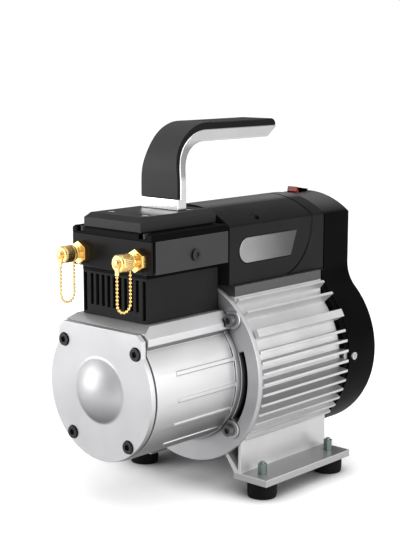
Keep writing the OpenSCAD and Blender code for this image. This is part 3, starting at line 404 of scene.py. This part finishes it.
def build_along(name, axis):
    tree, given, out = new_group(name, [("Start", FLOAT, 0.0), ("Full", FLOAT, 1.0)], "Mask")
    place = add(tree, "ShaderNodeTexCoord")
    split = add(tree, "ShaderNodeSeparateXYZ")
    tree.links.new(place.outputs["Object"], split.inputs[0])
    mask = ramp(tree, split.outputs[axis], given.outputs["Start"], given.outputs["Full"],
                interpolation_type="SMOOTHSTEP")
    tree.links.new(mask, out.inputs["Mask"])
    return tree


FLANKS = build_facing("flanks", "X", both_ways=True)
TOPS = build_facing("tops", "Z", both_ways=False)
HEIGHTS = build_along("heights", "Z")
LENGTHS = build_along("lengths", "Y")
print("node groups:", [g.name for g in bpy.data.node_groups])


# %% [markdown]
# ## How a finish is put together
# Each finish is one Principled shader. What is the same all over, such as how metallic it is, is
# set on the shader itself. What changes over the surface comes from the groups: the colour drifts
# between two close tones, the gloss follows the handling marks, and the grain feeds a bump. Over the
# base lie layers, each one a colour and the mask that says where it shows.

# %% Write the recipe for a finish
def use(tree, group, **values):
    """Places a node group and sets its inputs."""
    made = add(tree, "ShaderNodeGroup", node_tree=group)
    for title, value in values.items():
        made.inputs[title].default_value = value
    return made


# These layers paint light and shade, all but towards_rear: on_edges gives a painted highlight with a
# little rubbed wear, and the others give painted light, painted shade or a painted reflection, by where a
# face looks or lies.
def on_edges(colour):
    return EDGES, colour, {}


def in_recesses(colour):
    return RECESSES, colour, {}


def on_flanks(colour):
    return FLANKS, colour, {"Start": 0.5, "Full": 0.85}


def on_tops(colour):
    return TOPS, colour, {}


def on_crowns(colour):
    return TOPS, colour, {"Start": 0.965, "Full": 0.99}


def on_slopes(colour):
    return TOPS, colour, {"Start": 0.25, "Full": 0.5}


def on_undersides(colour):
    return TOPS, colour, {"Start": -0.1, "Full": -0.7}


def above(height, blur, colour):
    return HEIGHTS, colour, {"Start": height, "Full": height + blur}


def below(height, blur, colour):
    return HEIGHTS, colour, {"Start": height + blur, "Full": height}


def towards_rear(start, full, colour):
    return LENGTHS, colour, {"Start": start, "Full": full}


FINISHES = {}


def finish(name, dark, light, rough, grain, depth, metallic=0.0, stretch=EVEN, layers=(), specular=0.5):
    """Makes a material. The grain is counted per metre, and its depth is in millimetres."""
    material = bpy.data.materials.new(name)
    material.use_nodes = True
    tree = material.node_tree
    shader = tree.nodes["Principled BSDF"]
    shader.inputs["Metallic"].default_value = metallic
    shader.inputs["Specular IOR Level"].default_value = specular
    mark = use(tree, MARKS, Scale=MARK_SCALE)
    skin = use(tree, GRAIN, Scale=grain, Stretch=stretch)
    colour = add(tree, "ShaderNodeMix", data_type="RGBA")
    colour.inputs["A"].default_value = (*dark, 1)
    colour.inputs["B"].default_value = (*light, 1)
    tree.links.new(mark.outputs["Mask"], colour.inputs["Factor"])
    for group, other, values in layers:
        mixed = add(tree, "ShaderNodeMix", data_type="RGBA")
        mixed.inputs["B"].default_value = (*other, 1)
        mask = use(tree, group, **values)
        tree.links.new(mask.outputs["Mask"], mixed.inputs["Factor"])
        tree.links.new(colour.outputs["Result"], mixed.inputs["A"])
        colour = mixed
    tree.links.new(colour.outputs["Result"], shader.inputs["Base Color"])
    gloss = ramp(tree, mark.outputs["Mask"], 0.0, 1.0, *rough)
    tree.links.new(gloss, shader.inputs["Roughness"])
    bump = add(tree, "ShaderNodeBump")
    bump.inputs["Strength"].default_value = 1.0
    bump.inputs["Distance"].default_value = depth * MM
    tree.links.new(skin.outputs["Height"], bump.inputs["Height"])
    tree.links.new(bump.outputs["Normal"], shader.inputs["Normal"])
    FINISHES[name] = material


print("a finish has two tones, a range of gloss, a grain and its layers")

# %% [markdown]
# ## Aluminium
# Most of the machine is aluminium, worked in different ways. The front cover and the drum are
# castings, so they are grainy and half dull; their flanks carry painted light, and their undersides
# and recesses painted shade. The bell is painted dark in its recesses as shade. The motor's body is an
# extrusion: its grain is drawn out along the machine. It is painted bright deep between the fins,
# standing in for light thrown to and fro there, painted darker on its tops and on the side of its
# flange as shade, and the strip under the electrical box carries a painted shadow. The handle is
# polished, and the badge is brushed and gets darker towards the rear.

# %% Make the aluminium finishes
LENGTHWISE = (1, 0.03, 1)
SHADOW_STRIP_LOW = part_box("top_housing")[0][2] - 8.9 * MM
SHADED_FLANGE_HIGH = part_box("motor_housing")[0][2] + 5.2 * MM
BADGE_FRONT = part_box("badge_plate")[0][1]
BADGE_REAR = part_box("badge_plate")[1][1]

# Painted light on the flanks; painted shade on the undersides and in the recesses.
finish("cast_aluminium", grey(0.50, 0.03), grey(0.55, 0.03), rough=(0.36, 0.46), grain=1100, depth=0.09,
       metallic=0.65,
       layers=[on_flanks(grey(0.62, 0.01)), on_undersides(grey(0.15)), in_recesses(grey(0.05))])
# Painted shade in the recesses.
finish("bell_aluminium", grey(0.47, 0.03), grey(0.53, 0.03), rough=(0.36, 0.46), grain=1400, depth=0.05,
       metallic=0.6, layers=[in_recesses(grey(0.01))])
# Painted light deep between the fins; painted shade on the tops and on the side of the flange; a painted
# shadow on the strip under the electrical box.
finish("extruded_aluminium", grey(0.60), grey(0.66), rough=(0.32, 0.42), grain=900, depth=0.03,
       metallic=0.65, stretch=LENGTHWISE,
       layers=[in_recesses(grey(0.93)), below(SHADED_FLANGE_HIGH, 0.3 * MM, grey(0.42)),
               on_tops(grey(0.30)), above(SHADOW_STRIP_LOW, 0.7 * MM, grey(0.09))])
finish("machined_aluminium", grey(0.6), grey(0.66), rough=(0.25, 0.35), grain=1200, depth=0.02,
       metallic=1.0)
finish("hard_anodised", grey(0.03), grey(0.045), rough=(0.4, 0.5), grain=1200, depth=0.03, metallic=0.6)
finish("polished_aluminium", grey(0.84), grey(0.88), rough=(0.12, 0.2), grain=900, depth=0.01,
       metallic=1.0)
finish("badge_metal", grey(0.31), grey(0.35), rough=(0.3, 0.4), grain=900, depth=0.01, metallic=1.0,
       stretch=LENGTHWISE, layers=[towards_rear(BADGE_FRONT, BADGE_REAR, grey(0.10))])
print("finishes so far:", len(FINISHES))

# %% [markdown]
# ## Black plastics and rubber
# The electrical box, the fan cowl and the grip are moulded in black plastic with a fine texture from
# the tool. The edges of the box and the cowl are a little lighter: a painted highlight, with a little
# rubbed wear. On the box the slopes and the tops carry painted shade, and the crown, which looks
# straight up at the tent's roof, is painted greyer as its reflection; the top of the cowl carries the
# same painted reflection. The grip is the palest of them, with painted shade on its sides. The rocker
# of the switch is a deep red, and the feet are dull rubber.

# %% Make the plastics and the rubber
# Painted highlight on the edges, with a little rubbed wear; painted shade on the slopes and tops; a
# painted reflection on the crown.
finish("black_plastic", grey(0.008), grey(0.011), rough=(0.36, 0.46), grain=1500, depth=0.06,
       layers=[on_edges(grey(0.022)), on_slopes(grey(0.003)), on_tops(grey(0.006)),
               on_crowns(grey(0.125))],
       specular=0.10)
# Painted highlight on the edges, with a little rubbed wear; a painted reflection on the top.
finish("cowl_plastic", grey(0.002), grey(0.003), rough=(0.30, 0.38), grain=1500, depth=0.04,
       layers=[on_edges(grey(0.010)), on_tops(grey(0.09))], specular=0.02)
# Painted shade on the sides.
finish("grip_plastic", grey(0.044), grey(0.052), rough=(0.45, 0.58), grain=1400, depth=0.08,
       layers=[on_flanks(grey(0.002))], specular=0.12)
finish("switch_black", grey(0.015), grey(0.02), rough=(0.25, 0.35), grain=1500, depth=0.03)
finish("switch_red", (0.17, 0.004, 0.003), (0.22, 0.006, 0.004), rough=(0.22, 0.32), grain=1500,
       depth=0.02, specular=0.3)
finish("rubber", grey(0.004), grey(0.006), rough=(0.6, 0.75), grain=1600, depth=0.08, specular=0.08)
print("finishes so far:", len(FINISHES))

# %% [markdown]
# ## The black head
# The plates of the head are anodised black. Anodising takes the shine of the metal under it, so a
# smooth plate comes out satin and a rough one duller. The head cover and the valve plate are nearly
# dead black because their flanks and tops carry painted shade, and the satin top plate is painted
# darker on its flanks and tops as shade. The side panels are greyer than the block behind them. All
# have thin, paler edges: a painted highlight, with a little rubbed wear.

# %% Make the finishes of the head
# Each finish of the head has paler edges, a painted highlight with a little rubbed wear; deep_black and
# satin_black also carry painted shade on their flanks and tops.
finish("black_anodised", grey(0.006, 0.2), grey(0.009, 0.2), rough=(0.30, 0.40), grain=2200, depth=0.03,
       layers=[on_edges(grey(0.03))], specular=0.08)
finish("deep_black", grey(0.006, 0.2), grey(0.008, 0.2), rough=(0.4, 0.5), grain=2200, depth=0.03,
       layers=[on_edges(grey(0.012)), on_flanks(grey(0.001)), on_tops(grey(0.001))], specular=0.03)
finish("satin_black", grey(0.020, 0.1), grey(0.026, 0.1), rough=(0.34, 0.44), grain=2200, depth=0.03,
       layers=[on_edges(grey(0.04)), on_flanks(grey(0.013)), on_tops(grey(0.006))], specular=0.15)
finish("grey_panel", grey(0.021), grey(0.025), rough=(0.38, 0.48), grain=2200, depth=0.03,
       layers=[on_edges(grey(0.06))], specular=0.3)
print("finishes so far:", len(FINISHES))

# %% [markdown]
# ## Steel, brass and copper
# Most screws are blackened, those of the cowl and the top plate are plated with zinc, the bolts of the
# crankcase are dark, and the studs of the feet have the greenish film of a passivated plating. Shaft,
# bearings and pin are ground bright. The cores of the motor are stacks of thin sheets, so their grain
# is fine along the shaft and drawn out across it. The ports, the caps and the chains are brass, and
# the windings are copper.

# %% Make the steel, brass and copper
STACKED = (0.05, 1, 0.05)

# Paler edges: a painted highlight, with a little rubbed wear.
finish("black_steel", grey(0.004), grey(0.008), rough=(0.32, 0.42), grain=2500, depth=0.02,
       layers=[on_edges(grey(0.03))], specular=0.35)
finish("dark_steel", grey(0.13), grey(0.18), rough=(0.3, 0.42), grain=2500, depth=0.02, metallic=0.9)
finish("zinc_steel", grey(0.55), grey(0.65), rough=(0.25, 0.38), grain=2000, depth=0.02, metallic=1.0)
finish("passivated_zinc", (0.13, 0.17, 0.15), (0.20, 0.25, 0.23), rough=(0.3, 0.4), grain=2000, depth=0.02,
       metallic=0.9)
finish("bright_steel", grey(0.6), grey(0.68), rough=(0.15, 0.25), grain=1500, depth=0.01, metallic=1.0)
finish("core_steel", grey(0.2), grey(0.28), rough=(0.4, 0.5), grain=2000, depth=0.03, metallic=0.9,
       stretch=STACKED)
finish("pin_metal", grey(0.62), grey(0.7), rough=(0.2, 0.3), grain=1500, depth=0.01, metallic=1.0)
finish("brass", (0.92, 0.63, 0.22), (0.97, 0.70, 0.28), rough=(0.18, 0.28), grain=1500, depth=0.02,
       metallic=1.0)
finish("copper_winding", (0.42, 0.16, 0.06), (0.5, 0.2, 0.08), rough=(0.3, 0.4), grain=1200, depth=0.1,
       metallic=1.0)
print("finishes so far:", len(FINISHES))

# %% [markdown]
# ## What is inside
# Four things hardly show, or only when the machine is taken apart: the piston's seal, the gaskets,
# the capacitor's can and the terminal block. They get plain finishes of their own kind.

# %% Make the inner finishes
finish("seal", (0.6, 0.55, 0.42), (0.66, 0.6, 0.46), rough=(0.4, 0.5), grain=1500, depth=0.03)
finish("gasket", grey(0.04), grey(0.06), rough=(0.7, 0.8), grain=1800, depth=0.08)
finish("capacitor_can", (0.05, 0.08, 0.12), (0.06, 0.1, 0.14), rough=(0.3, 0.4), grain=1500, depth=0.02)
finish("terminal_plastic", (0.7, 0.66, 0.56), (0.76, 0.72, 0.62), rough=(0.4, 0.5), grain=1500, depth=0.03)
print("finishes:", len(FINISHES))

# %% [markdown]
# ## Who wears what
# Most pieces take the finish of their slot in the record. A few look different from the others
# in theirs, such as the satin top plate over the deep black of the head, and have their own.

# %% Give each solid its finish
# The deep black of the head cover and the valve plate carries painted shade, and the barrel's dark
# anodised finish also stands in for the shade inside the shroud.
OWN_FINISH = {
    "top_plate": "satin_black", "head_cover": "deep_black", "valve_plate": "deep_black",
    "cylinder_barrel": "hard_anodised", "foot_studs": "passivated_zinc",
}


def finish_of(node):
    return FINISHES[OWN_FINISH.get(node, slot_of[node])]


for name, solid in nodes.items():
    solid.data.materials.clear()
    solid.data.materials.append(finish_of(name))
print("solids with a finish of their own:", sorted(OWN_FINISH))


# %% [markdown]
# ## Softened edges
# Solids come out of CAD with perfectly sharp edges, which catch no light. Each piece that shows is
# copied to a new mesh: the copy is welded, flat areas are merged, every sharp edge is rounded by a
# small bevel, and the flat faces keep flat normals so that only the rounded edge shines. A merged
# face with a hole in it hangs together by an edge that has the same face on both sides. The bevel
# can't work there, so such a face is cut into triangles first.

# %% Copy the pieces that show with rounded edges
# The width of each bevel, in millimetres
SOFT_EDGES = {
    "front_cover": 0.45, "crankcase": 0.5, "motor_front_bell": 0.6, "motor_housing": 0.3,
    "fan_cowl": 0.6, "top_housing": 0.8, "head_shroud": 0.4, "head_block": 0.5, "head_cover": 0.5,
    "side_panels": 0.25, "top_plate": 0.5, "handle_frame": 0.6, "handle_grip": 0.6,
    "suction_port": 0.25, "discharge_port": 0.25,
    "suction_swivel": 0.12, "discharge_swivel": 0.12, "badge_plate": 0.2, "switch_body": 0.3,
    "switch_rocker": 0.3, "power_inlet": 0.3, "rubber_feet": 0.6, "foot_studs": 0.2,
    "cover_screws": 0.2, "crankcase_bolts": 0.2, "head_cover_screws": 0.2, "panel_screws": 0.2,
    "top_plate_screws": 0.2, "handle_screws": 0.2, "housing_screws": 0.2, "cowl_screws": 0.2,
}
WELD = 0.002 * MM
FLAT = math.radians(0.4)
SHARP = math.radians(32)
CREASE = math.radians(55)
BEVEL_STEPS = 2
ROUND_PROFILE = 0.5
LARGEST_FACE = 100


def weigh_normals(piece):
    """Turns each corner's normal towards the largest face there, and keeps that in the mesh."""
    weights = piece.modifiers.new("weights", "WEIGHTED_NORMAL")
    weights.keep_sharp = True
    weights.weight = LARGEST_FACE
    shown = piece.evaluated_get(bpy.context.evaluated_depsgraph_get())
    weighed = bpy.data.meshes.new_from_object(shown)
    piece.modifiers.clear()
    piece.data = weighed


def body_of(node):
    for body, members in frame["record"]["behaviour"]["bodies"].items():
        if node in members:
            return body
    raise KeyError(node)


def rounded_mesh(name, source, width):
    mesh = bpy.data.meshes.new(name)
    mesh.from_pydata([v.co for v in source.vertices], [], [tuple(p.vertices) for p in source.polygons])
    work = bmesh.new()
    work.from_mesh(mesh)
    bmesh.ops.remove_doubles(work, verts=work.verts, dist=WELD)
    bmesh.ops.dissolve_limit(work, angle_limit=FLAT, verts=work.verts, edges=work.edges)
    bridges = [e for e in work.edges if len(e.link_faces) == 2 and e.link_faces[0] == e.link_faces[1]]
    holed = list(dict.fromkeys(e.link_faces[0] for e in bridges))
    bmesh.ops.triangulate(work, faces=holed)
    sharp = [e for e in work.edges if len(e.link_faces) == 2 and e.calc_face_angle() > SHARP]
    bmesh.ops.bevel(work, geom=sharp, offset=width, offset_type="OFFSET", segments=BEVEL_STEPS,
                    profile=ROUND_PROFILE, affect="EDGES", clamp_overlap=False, loop_slide=False)
    work.to_mesh(mesh)
    work.free()
    mesh.shade_smooth()
    mesh.set_sharp_from_angle(angle=CREASE)
    return mesh


def soften(node, width):
    mesh = rounded_mesh("soft_" + node, nodes[node].data, width)
    mesh.materials.append(finish_of(node))
    piece = bpy.data.objects.new("soft_" + node, mesh)
    bpy.context.collection.objects.link(piece)
    weigh_normals(piece)
    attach(piece, body_of(node))
    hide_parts(node)


for name, width in SOFT_EDGES.items():
    soften(name, width * MM)
print("softened pieces:", len(SOFT_EDGES))


# %% [markdown]
# ## Brass caps
# A flare cap is turned from brass bar, and its grip is fluted so that fingers can turn it. Turning
# on a lathe is a profile swept round an axis, so the cap is made that way in mesh code: rings of
# points round the port's axis, with the radius dipping a little many times a turn along the grip.

# %% Build a lathe
def lathe(name, profile, centre_x, centre_z, steps, flutes=0, depth=0.0):
    """Sweeps (radius, y, fluted) points round an axis along Y. A radius of 0 closes the end."""
    work = bmesh.new()
    rings = []
    for radius, y, fluted in profile:
        if radius == 0:
            rings.append([work.verts.new((centre_x, y, centre_z))])
            continue
        ring = []
        for step in range(steps):
            angle = 2 * math.pi * step / steps
            dip = depth * (0.5 - 0.5 * math.cos(flutes * angle)) if fluted else 0
            reach = radius - dip
            ring.append(work.verts.new((centre_x + reach * math.cos(angle), y,
                                        centre_z + reach * math.sin(angle))))
        rings.append(ring)
    for near, far in zip(rings, rings[1:]):
        for step in range(steps):
            after = (step + 1) % steps
            if len(near) == 1:
                work.faces.new((near[0], far[step], far[after]))
            elif len(far) == 1:
                work.faces.new((near[step], far[0], near[after]))
            else:
                work.faces.new((near[step], far[step], far[after], near[after]))
    bmesh.ops.recalc_face_normals(work, faces=work.faces)
    mesh = bpy.data.meshes.new(name)
    work.to_mesh(mesh)
    work.free()
    return mesh


def dress(name, mesh, node, rides=True):
    """Shows a mesh in place of a node, with the node's finish, and on the node's body when it rides."""
    mesh.shade_smooth()
    mesh.set_sharp_from_angle(angle=SHARP)
    mesh.materials.append(finish_of(node))
    piece = bpy.data.objects.new(name, mesh)
    bpy.context.collection.objects.link(piece)
    if rides:
        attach(piece, body_of(node))
    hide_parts(node)
    return piece


print("the lathe turns about an axis along the machine")

# %% [markdown]
# ### The profile of a cap
# From the mouth to the closed end the cap has a plain rim, a groove, the fluted grip, a second groove
# and rim, and then the rivet that the chain's tab swivels on, with a low crowned head. The cap's box
# in the frame gives its place, its radius and its length.

# %% Turn the caps
FLUTES = 30
FLUTE_DEPTH = 0.28 * MM
STEPS_IN_FLUTE = 6
CAP_BORE = 5.6 * MM
CAP_END_WALL = 1.4 * MM
CAP_CORNER = 0.4 * MM
GROOVE_DEPTH = 0.3 * MM
MOUTH_RIM = 1.6 * MM
MOUTH_GROOVE = 1.9 * MM
MOUTH_TO_GRIP = 2.2 * MM
END_TO_GRIP = 1.8 * MM
END_GROOVE = 1.5 * MM
END_RIM = 1.2 * MM
GRIP_RINGS = 7
RIVET_R = 2.0 * MM
RIVET_GAP = 1.1 * MM
RIVET_HEAD_R = 3.2 * MM
RIVET_HEAD_T = 1.4 * MM
RIVET_HEAD_SIDE = 0.5 * MM
RIVET_CROWN_R = 2.4 * MM
RIVET_CROWN_T = 1.1 * MM


def cap_profile(r, low_y, mouth):
    head = low_y + RIVET_HEAD_T
    end = head + RIVET_GAP
    floor = end + CAP_END_WALL
    grip_long = mouth - end - MOUTH_TO_GRIP - END_TO_GRIP
    grip = [mouth - MOUTH_TO_GRIP - i * grip_long / (GRIP_RINGS - 1) for i in range(GRIP_RINGS)]
    inside = [(0, floor), (CAP_BORE, floor), (CAP_BORE, mouth)]
    rim = [(r - CAP_CORNER, mouth), (r, mouth - CAP_CORNER), (r, mouth - MOUTH_RIM),
           (r - GROOVE_DEPTH, mouth - MOUTH_GROOVE)]
    closed_end = [(r - GROOVE_DEPTH, end + END_GROOVE), (r, end + END_RIM), (r, end + 2 * CAP_CORNER),
                  (r - 2 * CAP_CORNER, end)]
    rivet = [(RIVET_R, end), (RIVET_R, head), (RIVET_HEAD_R, head), (RIVET_HEAD_R, head - RIVET_HEAD_SIDE),
             (RIVET_CROWN_R, head - RIVET_CROWN_T), (0, low_y)]
    profile = [(radius, y, False) for radius, y in inside + rim]
    profile += [(r, y, True) for y in grip]
    profile += [(radius, y, False) for radius, y in closed_end + rivet]
    return profile


def turn_cap(side):
    node = side + "_cap"
    low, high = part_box(node)
    x = (low[0] + high[0]) / 2
    z = (low[2] + high[2]) / 2
    profile = cap_profile((high[0] - low[0]) / 2, low[1], high[1])
    mesh = lathe(node, profile, x, z, FLUTES * STEPS_IN_FLUTE, FLUTES, FLUTE_DEPTH)
    dress(node + "_turned", mesh, node)


for side in ("suction", "discharge"):
    turn_cap(side)
print("caps turned with", FLUTES, "flutes")


# %% [markdown]
# ## Bead chains
# A bead chain keeps each cap from being lost. It is a row of hollow balls on short pins, and it
# hangs in a U from a ring round the port's neck to the tab that swivels on the cap. Balls, pins and
# ring are made as mesh parts by three helpers, and the U is a list of points, one bead apart.

# %% Make beads, pins and rings
BALL_SIDES = 16
BALL_RINGS = 10


def ball(work, at, radius):
    made = bmesh.ops.create_uvsphere(work, u_segments=BALL_SIDES, v_segments=BALL_RINGS, radius=radius)
    bmesh.ops.translate(work, verts=made["verts"], vec=at)


def rod(work, start, end, radius, sides=8):
    along = end - start
    turn = along.to_track_quat("Z", "Y").to_matrix().to_4x4()
    turn.translation = (start + end) / 2
    bmesh.ops.create_cone(work, cap_ends=True, segments=sides, radius1=radius, radius2=radius,
                          depth=along.length, matrix=turn)


def hoop(work, centre, radius, thick, steps=40, sides=8):
    """A wire ring round an axis along Y."""
    rings = []
    for step in range(steps):
        a = 2 * math.pi * step / steps
        ring = []
        for side in range(sides):
            b = 2 * math.pi * side / sides
            reach = radius + thick * math.cos(b)
            ring.append(work.verts.new(centre + Vector((reach * math.cos(a), thick * math.sin(b),
                                                        reach * math.sin(a)))))
        rings.append(ring)
    for step in range(steps):
        near, far = rings[step], rings[(step + 1) % steps]
        for side in range(sides):
            after = (side + 1) % sides
            work.faces.new((near[side], near[after], far[after], far[side]))


print("a bead has", BALL_SIDES, "sides")

# %% [markdown]
# ### The U and its two ends
# When the cap is unscrewed, one end of the chain moves off with it and the other stays at the port.
# The beads are attached to neither body; they stay where they hang.

# %% Hang the chains
BEAD_R = 1.2 * MM
LINK_R = 0.45 * MM
BEAD_PITCH = 2.8 * MM
TAB_GAP = 0.2 * MM
TAB_PIN_R = 1.2 * LINK_R
TAB_PIN_LONG = 2.0 * MM
NECK_RING_R = 5.3 * MM
NECK_WIRE_R = 0.55 * MM
NECK_PIN_R = 1.3 * LINK_R


def chain_points(side):
    """The U that the chain hangs in, as points one bead apart."""
    low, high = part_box(side + "_chain")
    tab_low, tab_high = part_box(side + "_swivel")
    x = (tab_low[0] + tab_high[0]) / 2
    cap_leg = (tab_low[1] + tab_high[1]) / 2
    neck_leg = high[1] - BEAD_R
    turn_r = (neck_leg - cap_leg) / 2
    top = tab_low[2] - TAB_GAP - BEAD_R
    leg = top - (low[2] + BEAD_R + turn_r)
    length = 2 * leg + math.pi * turn_r
    count = math.floor(length / BEAD_PITCH)
    points = []
    for i in range(count + 1):
        s = i * length / count
        if s < leg:
            points.append(Vector((x, cap_leg, top - s)))
        elif s > length - leg:
            points.append(Vector((x, neck_leg, top - (length - s))))
        else:
            a = (s - leg) / turn_r
            points.append(Vector((x, cap_leg + turn_r * (1 - math.cos(a)),
                                  top - leg - turn_r * math.sin(a))))
    return points, length


def hang_chain(side):
    node = side + "_chain"
    points, length = chain_points(side)
    work = bmesh.new()
    for near, far in zip(points, points[1:]):
        ball(work, near, BEAD_R)
        rod(work, near, far, LINK_R)
    ball(work, points[-1], BEAD_R)
    port_low, port_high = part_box(side + "_port")
    neck = Vector((points[0].x, points[-1].y, (port_low[2] + port_high[2]) / 2))
    hoop(work, neck, NECK_RING_R, NECK_WIRE_R)
    rod(work, neck - Vector((0, 0, NECK_RING_R)), points[-1], NECK_PIN_R)
    rod(work, points[0], points[0] + Vector((0, 0, TAB_PIN_LONG)), TAB_PIN_R)
    bmesh.ops.recalc_face_normals(work, faces=work.faces)
    mesh = bpy.data.meshes.new(node)
    work.to_mesh(mesh)
    work.free()
    piece = dress(node + "_beads", mesh, node, rides=False)
    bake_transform(piece)
    print(node, "has", len(points), "beads on", round(length / MM, 1), "mm")


for side in ("suction", "discharge"):
    hang_chain(side)
